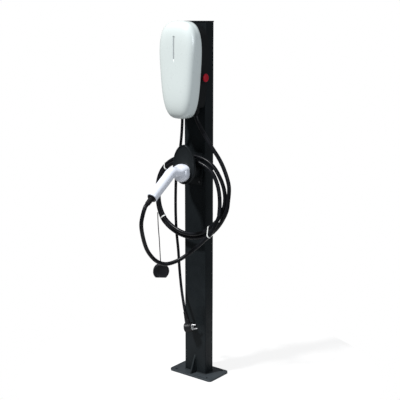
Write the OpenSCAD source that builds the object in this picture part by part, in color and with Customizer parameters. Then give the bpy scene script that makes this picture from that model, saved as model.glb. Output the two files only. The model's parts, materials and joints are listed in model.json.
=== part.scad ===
// Free-standing EV charging post: a steel post on a base plate carries a charger,
// a plug holster with the coiled charging cable on its neck, and a supply cable.
// Origin: centre of the base plate's underside. +Z up, the front faces -Y.

/* [Post] */
// Width of the post tube
post_w = 100; // [90:1:140]
// Depth of the post tube
post_d = 50; // [40:1:80]
// Wall of the post tube
post_wall = 3; // [2:0.5:5]
// Outer corner radius of the post tube
post_r = 5; // [3.5:0.5:8]
// Height of the post's top face above the ground
post_top = 1345; // [1340:1:1700]
// Thickness of the flat cap on the post
post_cap_t = 4; // [2:0.5:8]
// Overhang of the cap past the tube
post_cap_lip = 1.5; // [0.5:0.5:5]

/* [Base plate] */
// Width of the base plate
plate_w = 200; // [190:1:320]
// Depth of the base plate
plate_d = 120; // [118:1:240]
// Thickness of the base plate
plate_t = 8; // [5:0.5:15]
// Corner radius of the base plate
plate_r = 12; // [5:1:20]
// Anchor hole spacing across the width
anchor_dx = 150; // [136:1:170]
// Anchor hole spacing across the depth
anchor_dy = 90; // [70:1:94]
// Anchor hole diameter
anchor_d = 12; // [8:0.5:14]
// Height of the gussets above the plate
gusset_h = 70; // [40:1:150]
// Reach of the gussets from the post
gusset_reach = 28; // [15:1:33]
// Thickness of the gussets
gusset_t = 6; // [4:0.5:12]

/* [Charger] */
// Height of the charger's centre above the ground
box_z = 1173; // [1100:1:1200]
// Half width of the front cover where it is widest
cover_half_w = 83; // [83:1:110]
// Half height of the front cover
cover_half_h = 172; // [170:1:200]
// Change of the cover's width from its waist to its top or bottom, as a share
cover_taper = 0.16; // [0.1:0.01:0.16]
// Squareness of the cover's outline above its centre
cover_top_power = 3; // [3:0.1:4]
// Squareness of the cover's outline below its centre
cover_foot_power = 3.5; // [3.4:0.1:4]
// Depth of the cover's straight side wall
cover_side_d = 26; // [20:1:35]
// Rise of the cover's dome over its side wall
cover_dome_d = 32; // [25:1:40]
// Rise of the dome's crest above the cover's centre
crest_rise = 23; // [0:1:30]
// Wall of the front cover
cover_wall = 3; // [2:0.5:4]
// Inset of the rear case from the cover's outline
case_inset = 11; // [11:0.5:14]
// Depth of the rear case
case_d = 55; // [50:1:70]
// Wall of the rear case
case_wall = 3; // [2:0.5:4]
// Thickness of the case's flange inside the cover
flange_t = 4; // [3:0.5:6]
// Thickness of the seal on the flange
seal_t = 2; // [1:0.5:3]
// Thickness of the bracket between the post and the case
bracket_t = 6; // [4:1:10]
// Width of the status light
light_w = 4; // [3:0.5:8]
// Height of the status light
light_h = 78; // [40:1:90]

/* [Emergency stop] */
// Diameter of the red head
stop_head_d = 31; // [28:1:40]
// Diameter of the collar on the case wall
stop_collar_d = 30; // [22:1:36]
// Diameter of the plunger
stop_stem_d = 10; // [6:0.5:14]
// Travel of the plunger
stop_travel = 4; // [2:0.5:5]

/* [Holster and plug] */
// Height of the holster's socket axis
holster_z = 802; // [780:1:803]
// Outer radius of the holster's neck
neck_r = 30; // [28.5:0.5:30]
// Distance from the post's face to the holster plate's front
holster_reach = 68; // [68:1:90]
// Thickness of the holster's front plate
holster_t = 12; // [6:0.5:12]
// Half width of the holster plate
holster_half_w = 48; // [48:1:70]
// Half height of the holster plate
holster_half_h = 73; // [65:1:90]
// Outer radius of the plug's nose
nose_r = 26; // [22:0.5:26.5]
// Length of the plug's nose inside the holster
nose_len = 40; // [30:1:46]
// Wall of the plug's shells
gun_wall = 2.5; // [2:0.5:4]
// Radius of the plug's grip
grip_r = 19.5; // [18:0.5:22]
// Length of the grip
grip_len = 128; // [110:1:135]
// Slope of the grip below the horizontal
grip_slope = 35; // [32:1:37]

/* [Cables] */
// Diameter of the charging cable
charge_d = 14.5; // [12:0.5:15]
// Diameter of the supply cable
supply_d = 10.5; // [8:0.5:10.5]
// Diameter of the dust cap's tether
tether_d = 3.5; // [2:0.5:4]
// Half width of the hung coil, outside
coil_out_x = 177; // [170:1:180]
// Half height of the hung coil, outside
coil_out_z = 158; // [150:1:160]
// Half width of the hung coil, inside
coil_in_x = 120; // [110:1:130]
// Half height of the hung coil, inside
coil_in_z = 130; // [130:1:135]
// Thickness of the hung coil
coil_t = 40; // [30:1:42]
// Radius of the dust cap
dust_cap_r = 31; // [28.5:0.5:36]
// Depth of the dust cap
dust_cap_d = 24; // [18:1:30]

/* [Hidden] */

$fn = 64;
// Gap between faces that meet on different pieces
seat = 0.3;
// Radial clearance of the plunger in its collar
stem_fit = 0.05;
// Overshoot of a cutting solid
cut = 1;

// Distances in front of the post's centre plane
face = post_d / 2;
case_back = face + bracket_t;
case_front = case_back + case_d;
flange_front = case_front + flange_t;
cover_front = case_front + cover_side_d + cover_dome_d;
holster_front = face + holster_reach;
base_t = 4;

// Rear case
case_bottom = box_z - 135;
case_top = box_z + cover_half_h - case_inset;
case_mid = (case_top + case_bottom) / 2;
standoff = 12;
gland_y = 60;
supply_gland_x = -30;
output_gland_x = 34;
gland_len = 14;
gland_r = 12;
nut_t = 6;
stop_z = box_z - 26;
stop_y = 64;
stop_face = cover_half_w - 15;
stop_pad_r = 17;
stop_pad_t = 14;
collar_t = 6;
bracket_w = 84;
bracket_h = 230;
bracket_screw_dx = 60;
bracket_screw_dz = 200;
cover_screw_r = 1.5;
boss_r = 3.5;
light_z = box_z + 79;

// Outline of the cover, shrunk by an inset, at a share of its full size
outline_steps = 48;
function rounded(c, power) = sign(c) * pow(abs(c), 2 / power);
function cover_point(t, inset, share) =
  let (power = sin(t) > 0 ? cover_top_power : cover_foot_power,
       up = rounded(sin(t), power),
       side = rounded(cos(t), power) * (1 + cover_taper * (up - 0.4)))
  [share * (cover_half_w - inset) * side, share * (cover_half_h - inset) * up];
function cover_outline(inset, share = 1) =
  [for (k = [0 : outline_steps - 1]) cover_point(k * 360 / outline_steps, inset, share)];

// Where the cover's screws go, from the charger's centre: between the case's wall and the cover's
screw_inset = (case_inset + cover_wall) / 2 + seat;
cover_screw_places = concat([for (t = [10, 40, 140, 170]) cover_point(t, screw_inset, 1)],
                            [[0, -cover_half_h + 21]]);

// Draws its children in the X-Z plane and extrudes them forward from a distance
module forward(from, thickness) {
  translate([0, -from, 0]) rotate([90, 0, 0]) linear_extrude(thickness) children();
}

// A rod that points forward
module forward_rod(x, z, from, len, r) {
  translate([x, -from, z]) rotate([90, 0, 0]) cylinder(h = len, r = r);
}

// A rectangle with true round corners
module rounded_rect(w, h, r) {
  square([w - 2 * r, h], center = true);
  square([w, h - 2 * r], center = true);
  for (sx = [-1, 1], sy = [-1, 1]) translate([sx * (w / 2 - r), sy * (h / 2 - r)]) circle(r);
}

// Tube section of the post, grown or shrunk by a margin
module post_section(margin = 0) {
  rounded_rect(post_w + 2 * margin, post_d + 2 * margin, post_r + margin);
}

module post_tube() {
  color([0.09, 0.1, 0.11]) translate([0, 0, plate_t])
    linear_extrude(post_top - post_cap_t - plate_t) difference() {
      post_section();
      post_section(-post_wall);
    }
}

module base_plate() {
  color([0.11, 0.13, 0.15]) difference() {
    linear_extrude(plate_t) rounded_rect(plate_w, plate_d, plate_r);
    for (sx = [-1, 1], sy = [-1, 1])
      translate([sx * anchor_dx / 2, sy * anchor_dy / 2, -cut])
        cylinder(h = plate_t + 2 * cut, d = anchor_d);
  }
}

// Triangular gusset on the front face, its foot on the plate
module gusset() {
  nose = 5;
  translate([-gusset_t / 2, 0, 0]) rotate([90, 0, 90]) linear_extrude(gusset_t)
    polygon([[-face, plate_t], [-face - gusset_reach, plate_t],
             [-face - gusset_reach, plate_t + nose], [-face, plate_t + gusset_h]]);
}

module front_gusset() {
  color([0.09, 0.1, 0.11]) gusset();
}

module rear_gusset() {
  color([0.09, 0.1, 0.11]) mirror([0, 1, 0]) gusset();
}

module post_cap() {
  plug_h = 12;
  plug_wall = 2.5;
  color([0.1, 0.11, 0.12]) {
    translate([0, 0, post_top - post_cap_t]) linear_extrude(post_cap_t) post_section(post_cap_lip);
    translate([0, 0, post_top - post_cap_t - plug_h]) linear_extrude(plug_h) difference() {
      post_section(-post_wall - seat);
      post_section(-post_wall - seat - plug_wall / 2);
    }
  }
}

module mounting_bracket() {
  color([0.2, 0.21, 0.22]) translate([0, 0, case_mid]) difference() {
    forward(face, bracket_t) rounded_rect(bracket_w, bracket_h, 4);
    for (sx = [-1, 1], sz = [-1, 1])
      forward_rod(sx * bracket_screw_dx / 2, sz * bracket_screw_dz / 2, face - cut, bracket_t + 2 * cut, 3);
  }
}

// Screws from inside the case through the bracket into the post's wall
module bracket_screws() {
  head_r = 5;
  head_t = 3;
  color([0.7, 0.7, 0.72])
    for (sx = [-1, 1], sz = [-1, 1]) {
      x = sx * bracket_screw_dx / 2;
      z = case_mid + sz * bracket_screw_dz / 2;
      forward_rod(x, z, face + seat, bracket_t + case_wall, 3 - seat);
      forward_rod(x, z, case_back + case_wall + seat, head_t, head_r);
    }
}

// Places its children at each cover screw
module at_cover_screws() {
  for (place = cover_screw_places) translate([place[0], 0, box_z + place[1]]) children();
}

// Section of the rear case: the cover's outline, smaller and with a flat bottom for the glands
module case_section(inset) {
  intersection() {
    polygon(cover_outline(case_inset + inset));
    translate([-cover_half_w, case_bottom + inset - box_z]) square(2 * cover_half_h);
  }
}

// Case with its flange and a flat pad under the emergency stop's collar
module rear_case() {
  color([0.08, 0.085, 0.09]) difference() {
    union() {
      translate([0, 0, box_z]) {
        forward(case_back, case_d) case_section(0);
        forward(case_front, flange_t) polygon(cover_outline(cover_wall + seat));
      }
      at_stop() translate([0, 0, -stop_pad_t]) cylinder(h = stop_pad_t, r = stop_pad_r);
    }
    difference() {
      translate([0, 0, box_z]) forward(case_back + case_wall, case_d + flange_t) case_section(case_wall);
      for (sx = [-1, 1], sz = [-1, 1])
        forward_rod(sx * 45, case_mid + sz * 30, case_back + case_wall / 2, case_wall / 2 + standoff, 4);
    }
    for (x = [supply_gland_x, output_gland_x])
      translate([x, -gland_y, case_bottom - cut]) cylinder(h = case_wall + 2 * cut, r = 8);
    at_stop() translate([0, 0, -stop_pad_t]) cylinder(h = stop_pad_t + cut, r = 9);
    at_cover_screws() forward_rod(0, 0, case_front - cut, flange_t + 2 * cut, cover_screw_r + seat);
    for (sx = [-1, 1], sz = [-1, 1])
      forward_rod(sx * bracket_screw_dx / 2, case_mid + sz * bracket_screw_dz / 2, case_back - cut,
                  case_wall + 2 * cut, 3);
  }
}

// Foam ring on the flange's front, inside the cover
module case_seal() {
  ring_w = 4;
  color([0.05, 0.05, 0.05]) difference() {
    translate([0, 0, box_z]) forward(flange_front, seal_t) difference() {
      polygon(cover_outline(cover_wall + seat));
      polygon(cover_outline(cover_wall + ring_w));
    }
    at_cover_screws() forward_rod(0, 0, flange_front - cut, seal_t + 2 * cut, boss_r);
  }
}

// Solid of the domed cover, shrunk by an inset all over
dome_steps = 10;
module cover_solid(inset) {
  squeeze = 5.8;
  n = outline_steps;
  start = -cover_point(0, 0, 0)[0] - case_front;
  rings = [for (k = [-1 : dome_steps - 1])
    let (a = max(k, 0) * 90 / dome_steps,
         share = rounded(cos(a), squeeze),
         depth = k < 0 ? 0 : cover_side_d + (cover_dome_d - inset) * sin(a))
    [for (p = cover_outline(inset, share)) [p[0], start - depth, box_z + crest_rise * (1 - share) + p[1]]]];
  crest = [0, start - cover_side_d - cover_dome_d + inset, box_z + crest_rise];
  points = concat([for (ring = rings, p = ring) p], [crest]);
  last = (len(rings) - 1) * n;
  sides = [for (r = [0 : len(rings) - 2], k = [0 : n - 1])
    [r * n + k, (r + 1) * n + k, (r + 1) * n + (k + 1) % n, r * n + (k + 1) % n]];
  tip = [for (k = [0 : n - 1]) [last + k, len(points) - 1, last + (k + 1) % n]];
  polyhedron(points, concat([[for (k = [0 : n - 1]) k]], sides, tip), convexity = 4);
}

// Slot through the cover's crest for the status light
module light_slot() {
  translate([0, 0, light_z]) forward(case_front + cover_side_d, cover_dome_d + cut)
    square([light_w, light_h], center = true);
}

// Shell of the cover with nothing cut from it
module cover_shell() {
  difference() {
    cover_solid(0);
    cover_solid(cover_wall);
  }
}

board_front = case_front + cover_side_d + 16;

module front_cover() {
  color([0.86, 0.89, 0.88]) difference() {
    union() {
      cover_shell();
      intersection() {
        cover_solid(cover_wall / 2);
        union() {
          at_cover_screws() forward_rod(0, 0, flange_front + seal_t + seat, 60, boss_r);
          for (sz = [-1, 1]) forward_rod(0, light_z + sz * (light_h / 2 + 6), board_front, 40, 3);
        }
      }
    }
    light_slot();
    at_cover_screws() forward_rod(0, 0, flange_front, 14, cover_screw_r + seat);
  }
}

module cover_screws() {
  head_t = 2.5;
  color([0.65, 0.66, 0.68]) at_cover_screws() {
    forward_rod(0, 0, case_front - seat, flange_t + 10, cover_screw_r);
    forward_rod(0, 0, case_front - seat - head_t, head_t, 2 * cover_screw_r);
  }
}

module status_light() {
  color([0.7, 0.72, 0.73]) intersection() {
    cover_shell();
    light_slot();
  }
}

// Light strip's board on two posts behind the slot, with its lamps
module light_board() {
  board_t = 1.6;
  lamps = 6;
  color([0.1, 0.35, 0.2]) translate([0, 0, light_z]) {
    forward(board_front - board_t, board_t) square([10, light_h + 20], center = true);
    for (k = [0 : lamps - 1]) translate([0, 0, (k - (lamps - 1) / 2) * light_h / lamps])
      forward(board_front, 1.5) square([3, 5], center = true);
  }
}

// Main board on the case's standoffs, with its relays and capacitors
board_z = case_mid;
board_back = case_back + case_wall + standoff;
module control_board() {
  board_t = 1.6;
  color([0.1, 0.35, 0.2]) translate([0, 0, board_z])
    forward(board_back, board_t) square([110, 90], center = true);
  color([0.15, 0.15, 0.16]) for (x = [-35, -5, 25])
    translate([x, 0, board_z + 20]) forward(board_back + board_t, 16) square([20, 28], center = true);
  color([0.3, 0.3, 0.5]) for (x = [-40, -20, 0])
    forward_rod(x, board_z - 20, board_back + board_t, 20, 6);
}

module contactor() {
  color([0.75, 0.76, 0.74]) translate([0, 0, case_mid + 90])
    forward(case_back + case_wall, 45) square([45, 60], center = true);
}

module terminal_block() {
  ways = 5;
  pitch = 9;
  color([0.6, 0.62, 0.6]) translate([-25, 0, case_bottom + 68]) difference() {
    forward(case_back + case_wall, 30) square([ways * pitch, 28], center = true);
    for (k = [0 : ways - 1]) forward_rod((k - (ways - 1) / 2) * pitch, 6, case_back + 20, 20, 2.5);
  }
}

// Ring that the output cores pass through
sensor_z = case_bottom + 75;
module current_sensor() {
  color([0.1, 0.1, 0.3]) difference() {
    forward_rod(output_gland_x, sensor_z, case_back + case_wall, 18, 20);
    forward_rod(output_gland_x, sensor_z, case_back + case_wall - cut, 18 + 2 * cut, 9);
  }
}

// Cable gland through the case's floor, bored for its cable
module gland(x, cable_d) {
  color([0.09, 0.09, 0.1]) translate([x, -gland_y, 0]) difference() {
    union() {
      translate([0, 0, case_bottom - gland_len]) cylinder(h = gland_len, r = gland_r);
      translate([0, 0, case_bottom]) cylinder(h = case_wall + nut_t + 2, r = 8 - seat);
      translate([0, 0, case_bottom - gland_len - nut_t]) cylinder(h = nut_t, r1 = gland_r - 3, r2 = gland_r);
    }
    translate([0, 0, case_bottom - gland_len]) cylinder(h = gland_len + case_wall + nut_t + 3, d = cable_d - 4);
  }
}

module supply_gland() {
  gland(supply_gland_x, supply_d);
}

module output_gland() {
  gland(output_gland_x, charge_d);
}

// Hexagonal nuts that hold the glands inside the case
module gland_nuts() {
  color([0.12, 0.12, 0.13]) for (x = [supply_gland_x, output_gland_x])
    translate([x, -gland_y, case_bottom + case_wall]) difference() {
      rotate([0, 0, 30]) cylinder(h = nut_t, r = 11.5, $fn = 6);
      translate([0, 0, -cut]) cylinder(h = nut_t + 2 * cut, r = 8);
    }
}

// Places its children on the pad on the case's right wall, +Z pointing out of the wall
module at_stop() {
  translate([stop_face, -stop_y, stop_z]) rotate([0, 90, 0]) children();
}

module stop_collar() {
  color([0.13, 0.13, 0.14]) at_stop() difference() {
    union() {
      cylinder(h = collar_t, d = stop_collar_d);
      translate([0, 0, -case_wall - 8]) cylinder(h = case_wall + 8, r = 9 - seat);
    }
    translate([0, 0, -case_wall - 8 - cut])
      cylinder(h = case_wall + collar_t + 8 + 2 * cut, d = stop_stem_d + 2 * stem_fit);
  }
}

// Contact block behind the collar: it is fixed, and leaves room for the plunger's travel
module stop_contact_block() {
  color([0.2, 0.35, 0.55]) at_stop() difference() {
    translate([-14, -11, -case_wall - 8 - 24]) cube([28, 22, 24]);
    translate([0, 0, -case_wall - 8 - 12]) cylinder(h = 12 + cut, d = stop_stem_d + 2);
  }
}

// Plunger from the contact block to the head's underside
module stop_plunger() {
  color([0.6, 0.6, 0.6]) at_stop()
    translate([0, 0, -case_wall - 8 - 5]) cylinder(h = case_wall + 8 + 5 + collar_t + stop_travel + 1,
                                                   d = stop_stem_d);
}

// Mushroom head on the end of the plunger
module stop_head() {
  base = collar_t + stop_travel + 1 + stem_fit;
  rim = 3;
  crown = 2;
  color([0.6, 0.03, 0.08]) at_stop() translate([0, 0, base]) rotate_extrude()
    polygon([[0, 0], [stop_head_d / 2 - 2, 0], [stop_head_d / 2, 1.5], [stop_head_d / 2, rim],
             [stop_head_d / 2 - 2, rim + 1.2], [stop_head_d / 2 - 6, rim + crown],
             [0, rim + crown + 0.5]]);
}

// Holster: wall plate, neck that carries the coil, and the egg-shaped front plate
holster_screw_dx = 52;
holster_screw_dz = 96;
module at_holster_screws() {
  for (sx = [-1, 1], sz = [-1, 1])
    translate([sx * holster_screw_dx / 2, 0, holster_z + 8 + sz * holster_screw_dz / 2]) children();
}

module holster_base() {
  color([0.07, 0.07, 0.08]) difference() {
    translate([0, 0, holster_z + 8]) forward(face, base_t) rounded_rect(76, 120, 8);
    at_holster_screws() forward_rod(0, 0, face - cut, base_t + 2 * cut, 2.5);
  }
}

module holster_screws() {
  color([0.6, 0.6, 0.62]) at_holster_screws() {
    forward_rod(0, 0, face + seat, base_t, 2.5 - seat);
    forward_rod(0, 0, face + base_t + seat, 2.5, 4.5);
  }
}

socket_r = nose_r + 1;
module holster_neck() {
  color([0.07, 0.07, 0.08]) difference() {
    forward_rod(0, holster_z, face + base_t, holster_reach - base_t - holster_t, neck_r);
    forward_rod(0, holster_z, face + base_t + 4, holster_reach, socket_r);
  }
}

// Egg outline, a little narrower at the top
function egg(inset) = [for (k = [0 : 59]) let (t = 6 * k)
  [(holster_half_w - inset) * cos(t) * (1 - 0.1 * sin(t)), (holster_half_h - inset) * sin(t)]];

module holster_plate() {
  rim_w = 5;
  rim_t = 3;
  color([0.07, 0.07, 0.08]) difference() {
    translate([0, 0, holster_z + 29]) forward(holster_front - holster_t, holster_t) polygon(egg(0));
    translate([0, 0, holster_z + 29]) forward(holster_front - rim_t, rim_t + cut) difference() {
      polygon(egg(rim_w));
      translate([0, -29]) circle(nose_r + 10);
    }
    forward_rod(0, holster_z, holster_front - holster_t - cut, holster_t + 2 * cut, socket_r);
  }
}

// Charging plug: its nose sits in the holster, its grip slopes down and forward
gun_seat = holster_front + seat;
collar_d = 9;
collar_r = nose_r + 7;
elbow = gun_seat + 68;
elbow_z = holster_z + 8;
grip_end = elbow + grip_len * cos(grip_slope);
grip_end_z = elbow_z - grip_len * sin(grip_slope);

module gun_nose() {
  cavity = 14;
  flat = nose_r - 6;
  color([0.06, 0.06, 0.07]) difference() {
    forward_rod(0, holster_z, gun_seat - nose_len, nose_len, nose_r);
    forward_rod(0, holster_z, gun_seat - nose_len - cut, cavity + cut, nose_r - 3);
    translate([-nose_r, cut - gun_seat - cut, holster_z + flat])
      cube([2 * nose_r, nose_len + cut, nose_r]);
  }
}

// Seven contacts: one in the middle, four round it, two small ones above
module gun_contacts() {
  pin_len = 12;
  places = concat([[0, 0, 3]], [for (a = [200, 245, 295, 340]) [13 * cos(a), 13 * sin(a), 3]],
                  [for (a = [55, 125]) [14 * cos(a), 14 * sin(a), 1.8]]);
  color([0.8, 0.8, 0.82]) for (p = places)
    forward_rod(p[0], holster_z + p[1], gun_seat - nose_len + 2, pin_len, p[2]);
}

module gun_collar() {
  color([0.85, 0.86, 0.88]) translate([0, -gun_seat, holster_z]) rotate([90, 0, 0]) rotate_extrude()
    polygon([[0, 0], [collar_r - 1.5, 0], [collar_r, 1.5], [collar_r, collar_d - 1.5],
             [collar_r - 1.5, collar_d], [0, collar_d]]);
}

// Places its children at the elbow, +Z pointing down the grip
module at_elbow() {
  translate([0, -elbow, elbow_z]) rotate([90 + grip_slope, 0, 0]) children();
}

// Middle line of the handle and its radius at each point, from the collar to the grip's end
handle_start = gun_seat + collar_d;
handle_line = [[0, -handle_start, holster_z], [0, -handle_start - 6, holster_z],
               [0, -handle_start - 20, holster_z + 5], [0, -elbow + 18, elbow_z + 1],
               [0, -elbow, elbow_z - 1.5], [0, -elbow - 16, elbow_z - 9],
               [0, -(elbow + grip_end) / 2, (elbow_z + grip_end_z) / 2], [0, -grip_end, grip_end_z]];
handle_radii = [collar_r - 2, collar_r - 4, grip_r + 5, grip_r + 1.5, grip_r + 1, grip_r + 0.5, grip_r, grip_r - 0.5];

// One moulded half of the handle: a C-shaped section from one split face to the other
half_steps = 16;
module gun_shell() {
  angles = [for (k = [0 : half_steps]) 90 + 180 * k / half_steps];
  section = concat([for (a = angles) [a, 0]],
                   [for (k = [half_steps : -1 : 0]) [angles[k], gun_wall]]);
  caps = [for (k = [0 : half_steps - 1]) [k, k + 1, 2 * half_steps - k, 2 * half_steps + 1 - k]];
  swept(handle_line, handle_radii, section, [1, 0, 0], caps);
}

module gun_shell_left() {
  color([0.87, 0.88, 0.92]) gun_shell();
}

module gun_shell_right() {
  color([0.87, 0.88, 0.92]) mirror([1, 0, 0]) gun_shell();
}

// Cross screws that hold the handle's halves together, between the shells' inner faces
screw_places = [30, 70, 110];
module gun_screws() {
  reach = grip_r - gun_wall - 2 * seat;
  color([0.3, 0.3, 0.32]) for (place = screw_places) at_elbow()
    translate([-reach, 0, place]) rotate([0, 90, 0]) cylinder(h = 2 * reach, r = 2.5);
}

relief_len = 34;
module gun_strain_relief() {
  color([0.05, 0.05, 0.06]) at_elbow() translate([0, 0, grip_len])
    cylinder(h = relief_len, r1 = 14, r2 = charge_d / 2 + 2);
}

// Swept tube: a smooth curve through hand-placed points, ringed with a carried normal
function unit(v) = v / norm(v);
function curve_at(a, b, c, d, s) =
  ((2 * b) + (c - a) * s + (2 * a - 5 * b + 4 * c - d) * s * s + (3 * b - a - 3 * c + d) * s * s * s) / 2;
function smooth(p, steps) = concat([p[0]],
  [for (i = [1 : len(p) - 3], k = [0 : steps - 1]) curve_at(p[i - 1], p[i], p[i + 1], p[i + 2], k / steps)],
  [p[len(p) - 2], p[len(p) - 1]]);
function tangents(p) = [for (i = [0 : len(p) - 1]) unit(p[min(i + 1, len(p) - 1)] - p[max(i - 1, 0)])];
function carried(t, n, i = 0) =
  i == len(t) ? [] : let (m = unit(n - (n * t[i]) * t[i])) concat([m], carried(t, m, i + 1));

// Sweeps a section, a list of [angle, inset from the radius], along a route; caps are one end's faces
module swept(route, radii, section, normal, caps) {
  count = len(section);
  dirs = tangents(route);
  normals = carried(dirs, normal);
  points = [for (i = [0 : len(route) - 1], s = section)
    route[i] + (radii[i] - s[1]) * (cos(s[0]) * normals[i] + sin(s[0]) * cross(dirs[i], normals[i]))];
  last = (len(route) - 1) * count;
  walls = [for (i = [0 : len(route) - 2], k = [0 : count - 1], half = [0, 1])
    let (a = i * count + k, b = i * count + (k + 1) % count)
    half == 0 ? [a, b, b + count] : [a, b + count, a + count]];
  far_caps = [for (cap = caps) [for (v = cap) last + v]];
  near_caps = [for (cap = caps) [for (j = [len(cap) - 1 : -1 : 0]) cap[j]]];
  polyhedron(points, concat(near_caps, walls, far_caps), convexity = 6);
}

module tube(route, d, sides) {
  swept(route, [for (p = route) d / 2], [for (k = [0 : sides - 1]) [360 * k / sides, 0]],
        [0.3, 0.9, 0.2], [[for (k = [0 : sides - 1]) k]]);
}

// Coil of the charging cable, hung on the holster's neck
coil_x = 12;
coil_z = holster_z + neck_r + 1 - coil_in_z * sqrt(1 - pow(coil_x / coil_in_x, 2));
coil_back = face + 15;
function ellipse(a, b) = [for (k = [0 : 59]) [a * cos(6 * k), b * sin(6 * k)]];
module charging_cable_coil() {
  color([0.04, 0.04, 0.05]) translate([coil_x, 0, coil_z]) forward(coil_back, coil_t) difference() {
    polygon(ellipse(coil_out_x, coil_out_z));
    polygon(ellipse(coil_in_x, coil_in_z));
  }
}

// Where the charging cable runs before and after its coil; its tail starts at the strain relief
function past_grip(len) = [0, -grip_end - len * cos(grip_slope), grip_end_z - len * sin(grip_slope)];
gland_tip = case_bottom - gland_len - nut_t;
lead_points = [[output_gland_x, -gland_y, gland_tip - seat], [output_gland_x, -gland_y, gland_tip - 10],
               [44, -60, 985], [66, -60, 953], [102, -60, 905],
               [138, -60, 863], [164, -60, 820], [183, -60, 765]];
tail_points = [past_grip(relief_len + seat), past_grip(relief_len + 10), [-2, -315, 682],
               [-14, -310, 640], [-30, -280, 580],
               [-36, -250, 530], [-28, -215, 490], [-12, -180, 474], [16, -150, 484],
               [44, -125, 507], [74, -105, 537], [100, -92, 566], [123, -87.6, 591]];

module charging_cable_lead() {
  color([0.04, 0.04, 0.05]) tube(smooth(lead_points, 2), charge_d, 10);
}

module charging_cable_tail() {
  color([0.04, 0.04, 0.05]) tube(smooth(tail_points, 2), charge_d, 10);
}

// Ties round the coil: angle from its centre, anticlockwise from +X
tie_angles = [140, 213, -50];
tie_w = 5;
tie_t = 1.5;
module cable_ties() {
  color([0.85, 0.86, 0.84]) for (a = tie_angles) {
    outer = 1 / norm([cos(a) / coil_out_x, sin(a) / coil_out_z]);
    inner = 1 / norm([cos(a) / coil_in_x, sin(a) / coil_in_z]);
    translate([coil_x, -coil_back - coil_t / 2, coil_z]) rotate([0, -a, 0]) difference() {
      translate([inner - tie_t, -coil_t / 2 - tie_t, -tie_w / 2])
        cube([outer - inner + 2 * tie_t, coil_t + 2 * tie_t, tie_w]);
      translate([inner, -coil_t / 2, -tie_w / 2 - cut]) cube([outer - inner, coil_t, tie_w + 2 * cut]);
    }
  }
}

// Supply plug: two round pins, turned and tilted as it hangs on its cable
plug_pos = [-3, -60, 198];
plug_turn = 20;
plug_tilt = 13;
plug_r = 19;
plug_t = 30;
plug_neck = 36;
plug_neck_r = 10;
plug_relief = 28;
module at_plug() {
  translate(plug_pos) rotate([0, -plug_tilt, plug_turn]) children();
}
function plug_place(p) =
  let (x = p[0] * cos(plug_tilt) - p[2] * sin(plug_tilt), z = p[0] * sin(plug_tilt) + p[2] * cos(plug_tilt))
  plug_pos + [x * cos(plug_turn) - p[1] * sin(plug_turn), x * sin(plug_turn) + p[1] * cos(plug_turn), z];

module plug_body() {
  color([0.05, 0.05, 0.06]) at_plug() {
    translate([-plug_t / 2, 0, 0]) rotate([0, 90, 0]) cylinder(h = plug_t, r = plug_r);
    cylinder(h = plug_neck, r = plug_neck_r);
  }
}

module plug_pins() {
  pin_gap = 19;
  pin_r = 3;
  pins_turn = 25;
  color([0.8, 0.8, 0.8]) at_plug() rotate([pins_turn, 0, 0]) for (s = [-1, 1])
    translate([plug_t / 2, 0, s * pin_gap / 2]) rotate([0, 90, 0]) cylinder(h = 19, r = pin_r);
}

relief_top = plug_neck + plug_relief;
module plug_strain_relief() {
  color([0.05, 0.05, 0.06]) at_plug()
    translate([0, 0, plug_neck]) cylinder(h = plug_relief, r1 = 8.5, r2 = supply_d / 2 + 1.2);
}

supply_points = [[supply_gland_x, -gland_y, gland_tip - seat], [supply_gland_x, -gland_y, gland_tip - 10],
                 [-32, -58, 980], [-41, -51, 935], [-54, -42, 890],
                 [-70, -34, 840], [-82, -33, 780], [-86, -33, 700], [-86, -33, 620], [-82, -33, 550],
                 [-74, -34, 490], [-66, -36, 410], [-50, -44, 335],
                 plug_place([0, 0, relief_top + 10]), plug_place([0, 0, relief_top + seat])];

module supply_cable() {
  color([0.04, 0.04, 0.05]) tube(smooth(supply_points, 2), supply_d, 8);
}

// Dust cap, D-shaped, hung by its tether in front of the coil
dust_cap_pos = [-119, -84, 404];
dust_cap_wall = 3;
tether_y = coil_back + coil_t + tie_t + tether_d / 2 + seat;
tether_points = [[-133, -tether_y, 634], [-131, -tether_y, 585], [-126, -tether_y, 527],
                 [-123, -83, 470], [-120, -84, dust_cap_pos[2] + dust_cap_r + 2 * seat]];
module dust_section(inset) {
  intersection() {
    circle(dust_cap_r - inset);
    translate([-dust_cap_r, -dust_cap_r + 8 + inset]) square([2 * dust_cap_r, 2 * dust_cap_r]);
  }
}

module dust_cap() {
  back = -dust_cap_pos[1] - dust_cap_d / 2;
  color([0.05, 0.05, 0.06]) translate([dust_cap_pos[0], 0, dust_cap_pos[2]]) difference() {
    forward(back, dust_cap_d) dust_section(0);
    forward(back - cut, dust_cap_d - dust_cap_wall + cut) dust_section(dust_cap_wall);
  }
}

module cap_tether() {
  color([0.05, 0.05, 0.06]) tube(smooth(tether_points, 2), tether_d, 8);
}

post_tube();
base_plate();
front_gusset();
rear_gusset();
post_cap();
mounting_bracket();
bracket_screws();
rear_case();
case_seal();
front_cover();
cover_screws();
status_light();
light_board();
control_board();
contactor();
terminal_block();
current_sensor();
supply_gland();
output_gland();
gland_nuts();
stop_collar();
stop_contact_block();
stop_plunger();
stop_head();
holster_base();
holster_neck();
holster_plate();
holster_screws();
gun_nose();
gun_contacts();
gun_collar();
gun_shell_left();
gun_shell_right();
gun_screws();
gun_strain_relief();
charging_cable_tail();
charging_cable_lead();
charging_cable_coil();
cable_ties();
supply_cable();
plug_body();
plug_pins();
plug_strain_relief();
cap_tether();
dust_cap();
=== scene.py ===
"""Looks of the EV charging post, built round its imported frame. Lengths written in mm are scaled by MM."""
import json
import math

import bmesh
import bpy
from mathutils import Matrix, Vector


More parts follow.
